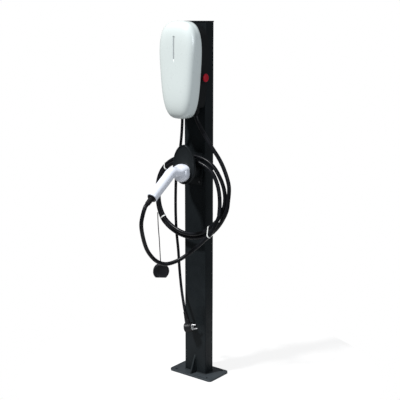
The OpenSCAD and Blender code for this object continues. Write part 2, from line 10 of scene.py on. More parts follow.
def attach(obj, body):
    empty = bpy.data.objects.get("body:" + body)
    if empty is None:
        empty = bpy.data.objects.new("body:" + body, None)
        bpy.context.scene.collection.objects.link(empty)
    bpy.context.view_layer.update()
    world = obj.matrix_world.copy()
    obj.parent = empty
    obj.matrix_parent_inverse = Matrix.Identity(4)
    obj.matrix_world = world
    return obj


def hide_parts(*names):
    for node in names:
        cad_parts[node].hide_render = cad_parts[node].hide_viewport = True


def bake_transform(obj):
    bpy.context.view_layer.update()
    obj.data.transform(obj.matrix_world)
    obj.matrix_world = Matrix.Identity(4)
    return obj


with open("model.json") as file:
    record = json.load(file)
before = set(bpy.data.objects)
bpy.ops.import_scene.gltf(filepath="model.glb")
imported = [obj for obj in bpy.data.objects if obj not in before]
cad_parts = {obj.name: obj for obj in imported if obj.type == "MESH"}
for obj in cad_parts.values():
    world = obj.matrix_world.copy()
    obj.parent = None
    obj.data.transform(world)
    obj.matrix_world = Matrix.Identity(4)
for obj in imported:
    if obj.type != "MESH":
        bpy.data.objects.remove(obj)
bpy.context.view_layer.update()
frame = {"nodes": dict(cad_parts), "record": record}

MM = 0.001
RECORD = frame["record"]
BODY_OF = {node: body for body, nodes in RECORD["behaviour"]["bodies"].items() for node in nodes}
SLOT_OF = {part["node"]: part["material_slot"] for part in RECORD["subparts"]}


# ---------------------------------------------------------------- camera

def make_camera():
    """Camera at the right front of the post, a little above its middle."""
    data = bpy.data.cameras.new("camera")
    data.lens = 79.74
    camera = bpy.data.objects.new("camera", data)
    camera.location = (2.0097, -2.5657, 1.3599)
    camera.rotation_euler = (math.radians(78.3), 0, math.radians(38.0))
    bpy.context.scene.collection.objects.link(camera)
    bpy.context.scene.camera = camera


make_camera()


# ---------------------------------------------------------------- materials

class Finish:
    """One procedural material: plain values on its shader, and short calls for its nodes."""

    def __init__(self, name, color, roughness, **settings):
        self.material = bpy.data.materials.new(name)
        self.material.use_nodes = True
        self.tree = self.material.node_tree
        self.shader = self.tree.nodes["Principled BSDF"]
        self.shader.inputs["Base Color"].default_value = (*color, 1)
        self.shader.inputs["Roughness"].default_value = roughness
        for key, value in settings.items():
            self.shader.inputs[key.replace("_", " ")].default_value = value
        self.place = self.tree.nodes.new("ShaderNodeTexCoord").outputs["Object"]
        self.height = None

    def link(self, source, target):
        self.tree.links.new(source, target)

    def noise(self, size, detail=3.0, stretch=(1, 1, 1)):
        """Noise whose blotches are about size across, in metres."""
        mapping = self.tree.nodes.new("ShaderNodeMapping")
        mapping.inputs["Scale"].default_value = [s / size for s in stretch]
        self.link(self.place, mapping.inputs["Vector"])
        node = self.tree.nodes.new("ShaderNodeTexNoise")
        node.inputs["Scale"].default_value = 1
        node.inputs["Detail"].default_value = detail
        self.link(mapping.outputs["Vector"], node.inputs["Vector"])
        return node.outputs["Fac"]

    def spread(self, source, low, high, start=0.3, end=0.7):
        """The source's range from start to end, stretched to run from low to high."""
        node = self.tree.nodes.new("ShaderNodeMapRange")
        for key, value in (("From Min", start), ("From Max", end), ("To Min", low), ("To Max", high)):
            node.inputs[key].default_value = value
        self.link(source, node.inputs["Value"])
        return node.outputs["Result"]

    def mix(self, factor, first, second):
        """Colour between two others; either is a colour or another node's output."""
        node = self.tree.nodes.new("ShaderNodeMix")
        node.data_type = "RGBA"
        self.link(factor, node.inputs["Factor"])
        for socket, value in ((node.inputs[6], first), (node.inputs[7], second)):
            if isinstance(value, bpy.types.NodeSocket):
                self.link(value, socket)
            else:
                socket.default_value = (*value, 1)
        return node.outputs[2]

    def roughness(self, source, low, high):
        self.link(self.spread(source, low, high), self.shader.inputs["Roughness"])
        return self

    def bump(self, source, depth):
        """Adds a relief of the given depth in metres, over any relief set before it."""
        node = self.tree.nodes.new("ShaderNodeBump")
        node.inputs["Distance"].default_value = depth
        self.link(source, node.inputs["Height"])
        if self.height:
            self.link(self.height, node.inputs["Normal"])
        self.height = node.outputs["Normal"]
        self.link(self.height, self.shader.inputs["Normal"])
        return self

    def paint(self, source):
        self.link(source, self.shader.inputs["Base Color"])
        return self

    def edges(self, low=0.52, high=0.6):
        """1 along outer edges, 0 elsewhere: the mask for their paler colour, partly wear and partly a painted
        highlight.
        """
        geometry = self.tree.nodes.new("ShaderNodeNewGeometry")
        return self.spread(geometry.outputs["Pointiness"], 0, 1, low, high)


def shade(color, factor):
    return tuple(min(1.0, channel * factor) for channel in color)


def powder_coat(slot, base, edge_wear_and_highlight, rough=0.42):
    """Orange-peel powder coat with paler edges, partly wear and partly a painted highlight."""
    finish = Finish(slot, base, rough, Specular_IOR_Level=0.06)
    blotches = finish.noise(0.06, 5)
    body = finish.mix(finish.spread(blotches, 0, 1), shade(base, 0.8), shade(base, 1.25))
    # Outer edges take the paler colour: partly wear, partly a painted highlight along the rounded edges.
    finish.paint(finish.mix(finish.edges(), body, edge_wear_and_highlight))
    finish.roughness(finish.noise(0.03, 6), rough - 0.08, rough + 0.1)
    return finish.bump(finish.noise(0.0014, 2), 0.00006).bump(finish.noise(0.02, 2), 0.0001)


def moulded(slot, base, rough, grain=0.0006, depth=0.00003, tint=0.12, **settings):
    """Moulded plastic: fine grain, soft flow marks and a slightly uneven gloss."""
    finish = Finish(slot, base, rough, **settings)
    marks = finish.noise(0.05, 4, (1, 1, 0.4))
    finish.paint(finish.mix(finish.spread(marks, 0, 1), shade(base, 1 - tint), shade(base, 1 + tint)))
    finish.roughness(finish.noise(0.012, 5), rough - 0.05, rough + 0.08)
    return finish.bump(finish.noise(grain, 2), depth)


def gloss_white(slot, base, rough):
    """Glossy white plastic with a clear skin and faint flow marks."""
    finish = Finish(slot, base, rough, Coat_Weight=0.35, Coat_Roughness=0.12)
    marks = finish.noise(0.09, 3)
    finish.paint(finish.mix(finish.spread(marks, 0, 1), shade(base, 0.985), base))
    finish.roughness(finish.noise(0.02, 5), rough - 0.05, rough + 0.06)
    return finish.bump(finish.noise(0.012, 2), 0.00003).bump(finish.noise(0.0009, 1), 0.000004)


def cable_rubber(slot, base, rough=0.33, specular=0.12):
    """Satin cable jacket: fine pores, long faint rub marks."""
    finish = Finish(slot, base, rough, Specular_IOR_Level=specular)
    rubs = finish.noise(0.02, 6)
    finish.paint(finish.mix(finish.spread(rubs, 0, 1), shade(base, 0.7), shade(base, 1.5)))
    finish.roughness(finish.noise(0.009, 6), rough - 0.08, rough + 0.14)
    return finish.bump(finish.noise(0.0011, 3), 0.00004).bump(finish.noise(0.014, 2), 0.00025)


def metal(slot, base, rough, stretch=(1, 1, 12)):
    """Plated or turned metal with fine lines and a slightly cloudy gloss."""
    finish = Finish(slot, base, rough, Metallic=1.0)
    clouds = finish.noise(0.004, 4)
    finish.paint(finish.mix(finish.spread(clouds, 0, 1), shade(base, 0.82), base))
    finish.roughness(finish.noise(0.0012, 3, stretch), rough - 0.06, rough + 0.1)
    return finish.bump(finish.noise(0.0005, 1, stretch), 0.00001)


def circuit_board(slot, base):
    """Solder mask with paler tracks."""
    finish = Finish(slot, base, 0.35)
    tracks = finish.tree.nodes.new("ShaderNodeTexBrick")
    tracks.inputs["Scale"].default_value = 60
    tracks.inputs["Mortar Size"].default_value = 0.03
    finish.link(finish.place, tracks.inputs["Vector"])
    finish.paint(finish.mix(tracks.outputs["Fac"], base, shade(base, 2.2)))
    return finish.bump(tracks.outputs["Fac"], 0.0001)


FINISHES = {
    # Second colour of each powder coat is that of its outer edges: partly wear, partly a painted highlight.
    "powder_coat": powder_coat("powder_coat", (0.0065, 0.0085, 0.0098), (0.03, 0.035, 0.038)),
    "plate_coat": powder_coat("plate_coat", (0.028, 0.033, 0.037), (0.14, 0.16, 0.18), 0.38),
    "bracket_steel": powder_coat("bracket_steel", (0.01, 0.01, 0.011), (0.04, 0.04, 0.045)),
    "zinc_screws": metal("zinc_screws", (0.09, 0.09, 0.095), 0.4),
    "case_black": moulded("case_black", (0.006, 0.007, 0.008), 0.45, 0.0009, 0.00006,
                          Specular_IOR_Level=0.08),
    "seal_foam": moulded("seal_foam", (0.012, 0.012, 0.012), 0.85, 0.0012, 0.0003),
    "cover_white": gloss_white("cover_white", (0.64, 0.7, 0.69), 0.3),
    "light_lens": moulded("light_lens", (0.34, 0.37, 0.38), 0.25, 0.0012, 0.00001, 0.05, Coat_Weight=0.4),
    "board_green": circuit_board("board_green", (0.02, 0.1, 0.045)),
    "contactor_grey": moulded("contactor_grey", (0.42, 0.43, 0.42), 0.4),
    "sensor_blue": moulded("sensor_blue", (0.04, 0.09, 0.24), 0.4),
    "gland_black": moulded("gland_black", (0.006, 0.006, 0.007), 0.38, Specular_IOR_Level=0.15),
    "stop_red": moulded("stop_red", (0.36, 0.008, 0.02), 0.3, 0.0008, 0.000015, 0.15,
                        Specular_IOR_Level=0.15),
    "plunger_steel": metal("plunger_steel", (0.55, 0.55, 0.56), 0.28),
    "holster_black": moulded("holster_black", (0.0085, 0.0105, 0.012), 0.4, 0.0008, 0.00005,
                             Specular_IOR_Level=0.14),
    "gun_white": gloss_white("gun_white", (0.68, 0.71, 0.78), 0.34),
    "gun_black": moulded("gun_black", (0.014, 0.014, 0.016), 0.42),
    "contact_metal": metal("contact_metal", (0.88, 0.88, 0.9), 0.16),
    "relief_rubber": cable_rubber("relief_rubber", (0.007, 0.007, 0.008), 0.45),
    "cable_black": cable_rubber("cable_black", (0.0045, 0.005, 0.0065), 0.3),
    "tie_white": moulded("tie_white", (0.68, 0.7, 0.68), 0.42, 0.0006, 0.00003, 0.06),
    "plug_black": moulded("plug_black", (0.009, 0.009, 0.01), 0.4, Specular_IOR_Level=0.15),
    "cap_rubber": cable_rubber("cap_rubber", (0.0085, 0.009, 0.0105), 0.6, 0.08),
}


# ---------------------------------------------------------------- mesh helpers

def add_piece(name, mesh, slot, sharp=35):
    """Smooth-shaded object with its slot's finish; edges over the sharp angle stay crisp."""
    mesh.polygons.foreach_set("use_smooth", [True] * len(mesh.polygons))
    mesh.set_sharp_from_angle(angle=math.radians(sharp))
    mesh.materials.clear()
    mesh.materials.append(FINISHES[slot].material)
    piece = bpy.data.objects.new(name, mesh)
    bpy.context.scene.collection.objects.link(piece)
    return piece


def settle(piece, *nodes, body=None):
    """Makes a piece stand for CAD nodes, and ride on their body."""
    if nodes:
        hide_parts(*nodes)
    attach(piece, body or BODY_OF[nodes[0]])
    return piece


def loft(name, rings, slot, caps=True, joined=False, sharp=35):
    """Skin over closed rings of points, with end caps, or with the last ring joined to the first."""
    count = len(rings[0])
    total = len(rings)
    points = [point for ring in rings for point in ring]
    faces = []
    for r in range(total if joined else total - 1):
        for k in range(count):
            a = r * count + k
            b = r * count + (k + 1) % count
            shift = (r + 1) % total * count - r * count
            faces.append((a, a + shift, b + shift, b))
    if caps and not joined:
        faces.append(tuple(range(count)))
        faces.append(tuple((total - 1) * count + k for k in reversed(range(count))))
    mesh = bpy.data.meshes.new(name)
    mesh.from_pydata(points, [], faces)
    clean = bmesh.new()
    clean.from_mesh(mesh)
    bmesh.ops.recalc_face_normals(clean, faces=clean.faces)
    clean.to_mesh(mesh)
    clean.free()
    return add_piece(name, mesh, slot, sharp)


def lathe(name, profile, place, slot, steps=64, joined=False, sharp=35):
    """Solid turned about the local Z axis of place; profile lists (radius, height) in mm."""
    turns = [2 * math.pi * k / steps for k in range(steps)]
    rings = [[place @ (Vector((r * math.cos(t), r * math.sin(t), h)) * MM) for t in turns]
             for r, h in profile]
    return loft(name, rings, slot, joined=joined, sharp=sharp)


def arc(cx, cy, radius, start, end, steps=6):
    """Points on a circle's arc, from one angle to another in degrees."""
    angles = [math.radians(start + (end - start) * k / steps) for k in range(steps + 1)]
    return [(cx + radius * math.cos(a), cy + radius * math.sin(a)) for a in angles]


def through(points, steps):
    """Smooth curve through points that keeps its first and last stretches straight."""
    route = [points[0]]
    for i in range(1, len(points) - 2):
        a, b, c, d = points[i - 1:i + 3]
        for k in range(steps):
            s = k / steps
            route.append((2 * b + (c - a) * s + (2 * a - 5 * b + 4 * c - d) * s * s
                          + (3 * b - a - 3 * c + d) * s ** 3) / 2)
    return route + [points[-2], points[-1]]


def even(route, spacing):
    """The same route with its points about one spacing apart."""
    reach = [0.0]
    for a, b in zip(route, route[1:]):
        reach.append(reach[-1] + (b - a).length)
    count = max(2, round(reach[-1] / spacing))
    result, i = [], 0
    for k in range(count + 1):
        want = reach[-1] * k / count
        while i < len(route) - 2 and reach[i + 1] < want:
            i += 1
        share = (want - reach[i]) / (reach[i + 1] - reach[i])
        result.append(route[i].lerp(route[i + 1], min(1.0, share)))
    return result


def frames_along(route, normal):
    """Direction, normal and side at each point of a route, with as little twist as can be."""
    result = []
    for i, point in enumerate(route):
        ahead = (route[min(i + 1, len(route) - 1)] - route[max(i - 1, 0)]).normalized()
        normal = (normal - ahead * normal.dot(ahead)).normalized()
        result.append((point, ahead, normal, ahead.cross(normal)))
    return result


def swept(name, route, section_at, slot, normal=(0.3, 0.9, 0.2), joined=False, sharp=35):
    """Sweeps a section, given at each point's index as (across, up) pairs in metres."""
    rings = [[p + n * u + s * v for u, v in section_at(i)]
             for i, (p, _, n, s) in enumerate(frames_along(route, Vector(normal)))]
    return loft(name, rings, slot, joined=joined, sharp=sharp)


def circle(radius, sides=20):
    return [(radius * math.cos(2 * math.pi * k / sides), radius * math.sin(2 * math.pi * k / sides))
            for k in range(sides)]


def box_section(width, height, corner, steps=3):
    """Rectangle with round corners, as (across, up) pairs."""
    corners = [(1, 1, 0), (-1, 1, 90), (-1, -1, 180), (1, -1, 270)]
    return [p for sx, sy, start in corners
            for p in arc(sx * (width / 2 - corner), sy * (height / 2 - corner), corner,
                         start, start + 90, steps)]


def softened(node, width, sharp=40):
    """Copy of a CAD node with its hard edges rounded, standing for that node."""
    source = frame["nodes"][node]
    mesh = source.data.copy()
    mesh.name = node + "_soft"
    work = bmesh.new()
    work.from_mesh(mesh)
    bmesh.ops.remove_doubles(work, verts=work.verts, dist=0.00001)
    bmesh.ops.dissolve_limit(work, angle_limit=math.radians(1), verts=work.verts, edges=work.edges)
    edges = [e for e in work.edges if len(e.link_faces) == 2
             and e.calc_face_angle(0) > math.radians(sharp)]
    bmesh.ops.bevel(work, geom=edges, offset=width, segments=3, profile=0.6, affect="EDGES",
                    clamp_overlap=True)
    work.to_mesh(mesh)
    work.free()
    settle(add_piece(node + "_soft", mesh, SLOT_OF[node]), node)


# ---------------------------------------------------------------- cables

COIL_CENTRE = Vector((12, 0, 703.65))
# Half width and half height of the coil's inner turn, and what its outer turn adds to them
COIL_HALF_W = 127.25
COIL_HALF_H = 137.25
TURN_STEP_W = 42.5
TURN_STEP_H = 13.5
CHARGE_D = 14.5
SUPPLY_D = 10.5
TETHER_D = 3.5
LEAD = [(34, -60, 1017.7), (34, -60, 1008), (44, -60, 985), (66, -60, 953), (102, -60, 905),
        (138, -60, 863), (164, -60, 820), (183, -60, 765)]
# Angle round the coil (clockwise from +X), share from its inner to its outer turn, and depth in front
TURNS = [(0, 0.93, 60), (28, 0.7, 58), (50, 0.7, 57), (73, 0.8, 55), (93, 1.15, 54), (114, 1.45, 53),
         (136, 1.5, 53), (153, 1.3, 52), (172, 1.12, 51), (190, 1.16, 49), (218, 1.38, 47), (240, 1.42, 47),
         (270, 1.35, 47), (290, 1.2, 48), (306, 0.9, 49), (324, 0.66, 51), (360, 0.5, 54), (385, 0.25, 57),
         (410, -0.05, 60), (447, -0.1, 63), (475, 0.4, 64), (497, 0.74, 64), (515, 0.72, 65),
         (545, 0.62, 66), (581, 0.85, 62), (605, 0.55, 59), (630, 0.14, 57), (667, 0.28, 57),
         (690, 0.16, 59), (718, 0.14, 64), (742, 0.5, 78)]
# Where the cable leaves the grip's strain relief, the relief's length, and the grip's slope in degrees
RELIEF_TIP = Vector((0, -293.98, 717.08))
GRIP_RELIEF = 34.3
GRIP_SLOPE = 35
TAIL = [(123, -87.6, 591), (100, -92, 566), (74, -105, 537), (44, -125, 507), (16, -150, 484),
        (-12, -180, 474), (-28, -215, 490), (-36, -250, 530), (-30, -280, 580), (-14, -310, 640),
        (-2, -315, 682)]


def coil_point(turn, share, depth):
    """Middle of the cable on the coil."""
    a = math.radians(-turn)
    across = COIL_HALF_W + TURN_STEP_W * share
    up = COIL_HALF_H + TURN_STEP_H * share
    return COIL_CENTRE + Vector((across * math.cos(a), -depth, up * math.sin(a)))


def coil_points():
    """Middle of the cable round the coil: a smooth curve through its keys, four points to each."""
    keys = through([Vector(key) for key in [(-45, 1, 60)] + TURNS + [(760, 0.9, 86)]], 4)
    return [coil_point(*key) for key in keys if -1 <= key[0] <= 743]


def grip_point(length):
    """Point past the end of the grip, along its slope."""
    slope = math.radians(GRIP_SLOPE)
    start = RELIEF_TIP + Vector((0, math.cos(slope), math.sin(slope))) * GRIP_RELIEF
    return start - Vector((0, math.cos(slope), math.sin(slope))) * length


def charging_route():
    tail = [Vector(p) for p in TAIL] + [grip_point(44), grip_point(GRIP_RELIEF)]
    points = [Vector(p) for p in LEAD] + coil_points() + tail
    return even([p * MM for p in through(points, 6)], 5 * MM)


def charging_cable():
    route = charging_route()
    cable = swept("charging_cable", route, lambda i: circle(CHARGE_D / 2 * MM, 24), "cable_black")
    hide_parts("charging_cable_lead", "charging_cable_coil", "charging_cable_tail")
    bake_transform(cable)
    return route


PLUG_PLACE = (Matrix.Translation(Vector((-3, -60, 198)) * MM) @ Matrix.Rotation(math.radians(20), 4, "Z")
              @ Matrix.Rotation(math.radians(-13), 4, "Y"))
PLUG_NECK = 36
PLUG_RELIEF = 28
PLUG_HALF_T = 15
PINS_TURN = 25
PIN_GAP = 19
SUPPLY = [(-30, -60, 1017.7), (-30, -60, 1008), (-32, -58, 980), (-41, -51, 935), (-54, -42, 890),
          (-70, -34, 840), (-82, -33, 780), (-86, -33, 700), (-86, -33, 620), (-82, -33, 550),
          (-74, -34, 490), (-66, -36, 410), (-50, -44, 335)]


def supply_route():
    ends = [PLUG_PLACE @ (Vector((0, 0, PLUG_NECK + PLUG_RELIEF + h)) * MM) for h in (10, 0.3)]
    return even(through([Vector(p) * MM for p in SUPPLY] + ends, 6), 5 * MM)


def supply_cable():
    route = supply_route()
    cable = swept("supply_lead", route, lambda i: circle(SUPPLY_D / 2 * MM), "cable_black")
    settle(cable, "supply_cable")


TETHER = [(-133, -83.55, 634), (-131, -83.55, 585), (-126, -83.55, 527), (-123, -83, 470),
          (-120, -84, 435.6)]


def cap_tether(with_pieces):
    route = even(through([Vector(p) * MM for p in TETHER], 6), 3 * MM)
    cord = swept("tether_cord", route, lambda i: circle(TETHER_D / 2 * MM, 12), "cap_rubber")
    settle(cord, "cap_tether")


# ---------------------------------------------------------------- cable ties

def hull(points):
    """Convex outline of flat points, anticlockwise."""
    points = sorted(set(points))

    def half(ordered):
        line = []
        for p in ordered:
            while len(line) > 1 and ((line[-1][0] - line[-2][0]) * (p[1] - line[-2][1])
                                     - (line[-1][1] - line[-2][1]) * (p[0] - line[-2][0])) <= 0:
                line.pop()
            line.append(p)
        return line[:-1]
    return half(points) + half(points[::-1])


def strands_at(route, angle):
    """Where the charging cable crosses a plane through the coil's axis: (radius, depth) pairs."""
    out = Vector((math.cos(angle), 0, math.sin(angle)))
    along = Vector((-math.sin(angle), 0, math.cos(angle)))
    centre = COIL_CENTRE * MM
    found = []
    for p, q in zip(route, route[1:]):
        a, b = (p - centre).dot(along), (q - centre).dot(along)
        if a * b < 0 and (p - centre).dot(out) > 0.1:
            cross = p.lerp(q, a / (a - b))
            found.append(((cross - centre).dot(out), -cross.y))
    return found, out, along, centre


def cable_tie(name, route, degrees):
    """Flat strap drawn tight round the strands, with its head and cut tail behind."""
    strands, out, along, centre = strands_at(route, math.radians(degrees))
    reach = (CHARGE_D / 2 + 0.75) * MM
    outline = hull([(r + u, d + v) for r, d in strands for u, v in circle(reach, 32)])
    loop = [centre + out * r - Vector((0, d, 0)) for r, d in outline]
    loop = even(loop + loop[:1], 2 * MM)[:-1]
    middle = sum(loop, Vector()) / len(loop)
    section = box_section(4.6 * MM, 1.3 * MM, 0.4 * MM, 2)
    rings = []
    for i, point in enumerate(loop):
        ahead = (loop[(i + 1) % len(loop)] - loop[i - 1]).normalized()
        up = ahead.cross(along).normalized()
        if up.dot(point - middle) < 0:
            up = -up
        rings.append([point + along * u + up * v for u, v in section])
    strap = loft(name, rings, "tie_white", joined=True)
    back = max(loop, key=lambda p: p.y)
    spot = Matrix((-out, along, Vector((0, 1, 0)))).transposed().to_4x4()
    spot.translation = back + Vector((0, 0.6 * MM, 0))
    head = [[spot @ (Vector((x * k, y * k, z)) * MM) for x, y in box_section(7, 6.4, 1.2, 2)]
            for k, z in ((1, 0), (1, 2.6), (0.96, 3.2), (0.86, 3.5))]
    block = loft(name + "_head", head, "tie_white")
    tail = [spot @ (Vector((x, 0, z)) * MM) for x, z in ((-2, 2.2), (3, 2.3), (6, 2.6), (9, 3.4))]
    stub = swept(name + "_tail", even(tail, 2 * MM),
                 lambda i: box_section(1.1 * MM, 3.6 * MM, 0.3 * MM, 1), "tie_white", normal=(0, 1, 0))
    for part in (block, stub):
        part.parent = strap
    return strap


def cable_ties(route):
    for number, degrees in enumerate((140, 213, -50), 1):
        tie = cable_tie(f"cable_tie_{number}", route, degrees)
        if number == 1:
            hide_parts("cable_ties")
        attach(tie, "post")


# ---------------------------------------------------------------- charger

CASE_FRONT = 86
BOX_Z = 1173
HALF_W = 83
HALF_H = 172
TAPER = 0.16
TOP_POWER = 3
FOOT_POWER = 3.5
SQUEEZE = 5.8
SIDE_D = 26
DOME_D = 32
CREST_RISE = 23
LIGHT_Z = 1252


def rounded(c, power):
    return math.copysign(abs(c) ** (2 / power), c)


def outline_point(turn, inset, share):
    """Point on the cover's outline, from the charger's centre."""
    power = TOP_POWER if math.sin(turn) > 0 else FOOT_POWER
    up = rounded(math.sin(turn), power)
    side = rounded(math.cos(turn), power) * (1 + TAPER * (up - 0.4))
    return share * (HALF_W - inset) * side, share * (HALF_H - inset) * up + CREST_RISE * (1 - share)


def dome_depth(x, z):
    """Depth of the cover's outer face in front of its back edge, at a place from its centre."""
    low, high = 0.0, 1.0
    for _ in range(30):
        share = (low + high) / 2
        up = (z - CREST_RISE * (1 - share)) / (share * HALF_H)
        side = x / (share * HALF_W * (1 + TAPER * (max(-1, min(1, up)) - 0.4)))
        power = TOP_POWER if up > 0 else FOOT_POWER
        if abs(up) ** power + abs(side) ** power > 1:
            low = share
        else:
            high = share
    tilt = math.acos(min(1.0, high ** (SQUEEZE / 2)))
    return SIDE_D + DOME_D * math.sin(tilt)


def cover_rings(inset, depths):
    """Rings of the cover from its back edge to its crest."""
    steps = 128
    rings = []
    for share, depth in depths:
        ring = []
        for k in range(steps):
            x, z = outline_point(2 * math.pi * k / steps, inset, share)
            ring.append(Vector((x, -CASE_FRONT - depth, BOX_Z + z)) * MM)
        rings.append(ring)
    return rings


def front_cover():
    dome = [math.radians(90) * k / 40 for k in range(40)]
    wall = 3

    def depths(inset):
        curve = [(rounded(math.cos(a), SQUEEZE), SIDE_D + (DOME_D - inset) * math.sin(a)) for a in dome]
        return curve + [(0.004, SIDE_D + DOME_D - inset)]
    outer = cover_rings(0, [(1, 1.2), (1, 10), (1, 20)] + depths(0))
    lip = cover_rings(1.2, [(1, 0)])
    inner = cover_rings(wall, [(1, 0), (1, 20)] + depths(wall))
    cover = loft("cover_shell", outer[::-1] + lip + inner, "cover_white", sharp=50)
    carve(cover, slit("slit_cutter", 2.4, 39.4, -2.5, 3, "cover_white"))
    settle(cover, "front_cover")


def slit(name, half_w, half_h, back, front, slot):
    """Long upright strip with round ends that follows the dome, from back to front of its face."""
    edge = arc(0, half_h - half_w, half_w, 0, 180, 8) + arc(0, half_w - half_h, half_w, 180, 360, 8)
    levels = [[Vector((x, -CASE_FRONT - dome_depth(x, LIGHT_Z - BOX_Z + z) - reach, LIGHT_Z + z)) * MM
               for x, z in dense(edge, 3)] for reach in (back, front)]
    return loft(name, levels, slot)


def dense(outline, spacing):
    """Closed flat outline with points added so that none are further apart than spacing."""
    result = []
    for (x0, y0), (x1, y1) in zip(outline, outline[1:] + outline[:1]):
        parts = max(1, math.ceil(math.hypot(x1 - x0, y1 - y0) / spacing))
        result += [(x0 + (x1 - x0) * k / parts, y0 + (y1 - y0) * k / parts) for k in range(parts)]
    return result


def carve(piece, cutter):
    """Cuts one piece with another, which is then removed."""
    cut = piece.modifiers.new("cut", "BOOLEAN")
    cut.object = cutter
    cut.solver = "EXACT"
    bpy.context.view_layer.update()
    mesh = bpy.data.meshes.new_from_object(piece.evaluated_get(bpy.context.evaluated_depsgraph_get()))
    piece.modifiers.clear()
    piece.data = mesh
    bpy.data.objects.remove(cutter)


def status_light():
    lens = slit("light_strip", 2.2, 39.2, -2.3, -0.15, "light_lens")
    settle(lens, "status_light")


# Mouth of each gland, and its distance in front of the post's centre plane
GLAND_TIP = 1018
GLAND_Y = 60
# Face of the emergency stop's collar seat, its centre, and where its head starts
STOP_FACE = 68
STOP_Y = 64
STOP_Z = 1147
STOP_HEAD_OUT = 11.05


def gland(name, x, cable_d, node):
    """Cable gland under the case: ribbed clamping nut with a round mouth, under a plain flange."""
    place = Matrix.Translation(Vector((x, -GLAND_Y, GLAND_TIP)) * MM)
    hole = cable_d / 2 + 0.05
    profile = [(hole, 22), (hole, 0.4), (hole + 0.8, -0.2)] + arc(8.2, 3, 3.4, 255, 340, 4)
    profile += [(11.8, 5), (11.8, 12.4), (11.2, 13), (11.2, 14.2), (12, 14.8), (12, 19.4), (11.6, 20)]
    body = lathe(name, profile + [(7.7, 20), (7.7, 30), (hole, 30)], place, "gland_black", joined=True)
    for k in range(12):
        turn = Matrix.Rotation(2 * math.pi * k / 12, 4, "Z")
        rib = [[place @ turn @ (Vector((11.6 + u, v, h)) * MM) for u, v in box_section(1.2, 1.6, 0.4, 1)]
               for h in (5.4, 12)]
        loft(f"{name}_rib_{k}", rib, "gland_black").parent = body
    settle(body, node)


def at_stop(out=0.0):
    """Place on the emergency stop's axis, Z pointing out of the case's wall."""
    place = Matrix.Translation(Vector((STOP_FACE + out, -STOP_Y, STOP_Z)) * MM)
    return place @ Matrix.Rotation(math.pi / 2, 4, "Y")


def stop_collar():
    """Collar on the case's wall, with its sleeve inside."""
    profile = [(5.1, 6), (5.1, -10.5), (8.5, -10.5), (8.5, 0), (14.6, 0)] + arc(13.6, 1, 1.4, -30, 90, 4)
    profile += [(13.2, 2.6), (13, 3)] + arc(11.6, 4.6, 1.4, 0, 90, 4) + [(9, 5.4), (8.6, 6)]
    settle(lathe("stop_bezel", profile, at_stop(), "gland_black", joined=True), "stop_collar")


def stop_head():
    """Mushroom head with a dished crown."""
    profile = [(4, 0), (13.2, 0)] + arc(13.8, 1.1, 0.9, 270, 360, 3) + arc(12.7, 2.6, 2, 10, 80, 6)
    profile += [(11.6, 4.7), (10, 4.6), (9, 4.2), (4, 4), (0.4, 3.9)]
    settle(lathe("stop_button", profile, at_stop(STOP_HEAD_OUT), "stop_red"), "stop_head")


# ---------------------------------------------------------------- holster

HOLSTER_Z = 802
HOLSTER_FRONT = 93
PLATE_BACK = 81
EGG_Z = 831
PLATE_HALF_W = 50
PLATE_HALF_H = 73


def egg_ring(inset, depth, steps=96):
    turns = [2 * math.pi * k / steps for k in range(steps)]
    return [Vector(((PLATE_HALF_W - inset) * math.cos(t) * (1 - 0.1 * math.sin(t)), -depth,
                    EGG_Z + (PLATE_HALF_H - inset) * math.sin(t))) * MM for t in turns]


def socket_ring(radius, depth, steps=96):
    turns = [2 * math.pi * k / steps for k in range(steps)]
    return [Vector((radius * math.cos(t), -depth, HOLSTER_Z + radius * math.sin(t))) * MM for t in turns]


def holster_plate():
    """Egg-shaped plate: deep side wall, round rim, shallow floor and a raised ring round the socket."""
    front = HOLSTER_FRONT
    rings = [egg_ring(i, d) for i, d in
             [(20, PLATE_BACK), (2, PLATE_BACK), (0.6, PLATE_BACK + 0.6), (0, PLATE_BACK + 2)]]
    rings += [egg_ring(2.2 - u, front - 2.2 + v) for u, v in arc(0, 0, 2.2, 0, 90, 5)]
    rings += [egg_ring(i, d) for i, d in
              [(3, front), (3.6, front - 0.4), (4.1, front - 1.2), (4.5, front - 2.2),
               (5, front - 2.8), (5.8, front - 3)]]
    rings += [socket_ring(r, d) for r, d in
              [(36.6, front - 3), (36.1, front - 2.6), (35.8, front - 1.2), (35.3, front - 0.3),
               (34.4, front), (28.4, front), (27.4, front - 0.4), (27, front - 1.4), (27, PLATE_BACK)]]
    settle(loft("holster_face", rings, "holster_black", joined=True, sharp=50), "holster_plate")


# ---------------------------------------------------------------- charging plug

GUN_SEAT = 93.3
BELL = [(24, 0), (30.5, 0), (31.6, 0.6), (32, 1.6), (32, 3.2), (32.6, 3.8), (33, 4.6)]
GRIP_R = 19.5
# Middle of the handle (in front, height) and its half width and half height
HANDLE = [(94, 815.5, 31, 18.5), (106, 815.2, 30.5, 18.6), (118, 812.5, 28.2, 18.8), (130, 809, 25.2, 19.2),
          (144, 809.3, 22.3, 19.8), (157, 810.6, 20.5, 19.8), (170, 805.5, 19.8, 19.4),
          (184, 794.4, GRIP_R, GRIP_R),
          (200, 782.8, GRIP_R, GRIP_R), (232, 760.6, GRIP_R, GRIP_R), (262, 739.6, GRIP_R, GRIP_R),
          (266.15, 736.7, GRIP_R, GRIP_R)]


def bell():
    """Round head of the plug, domed in front."""
    place = Matrix.Translation(Vector((0, -GUN_SEAT, HOLSTER_Z)) * MM) @ Matrix.Rotation(math.pi / 2, 4, "X")
    dome = [(33 * math.cos(a), 16 + 19 * math.sin(a)) for a in
            [math.radians(88) * k / 16 for k in range(17)]]
    settle(lathe("plug_head", BELL + dome, place, "gun_white", 96), "gun_collar")


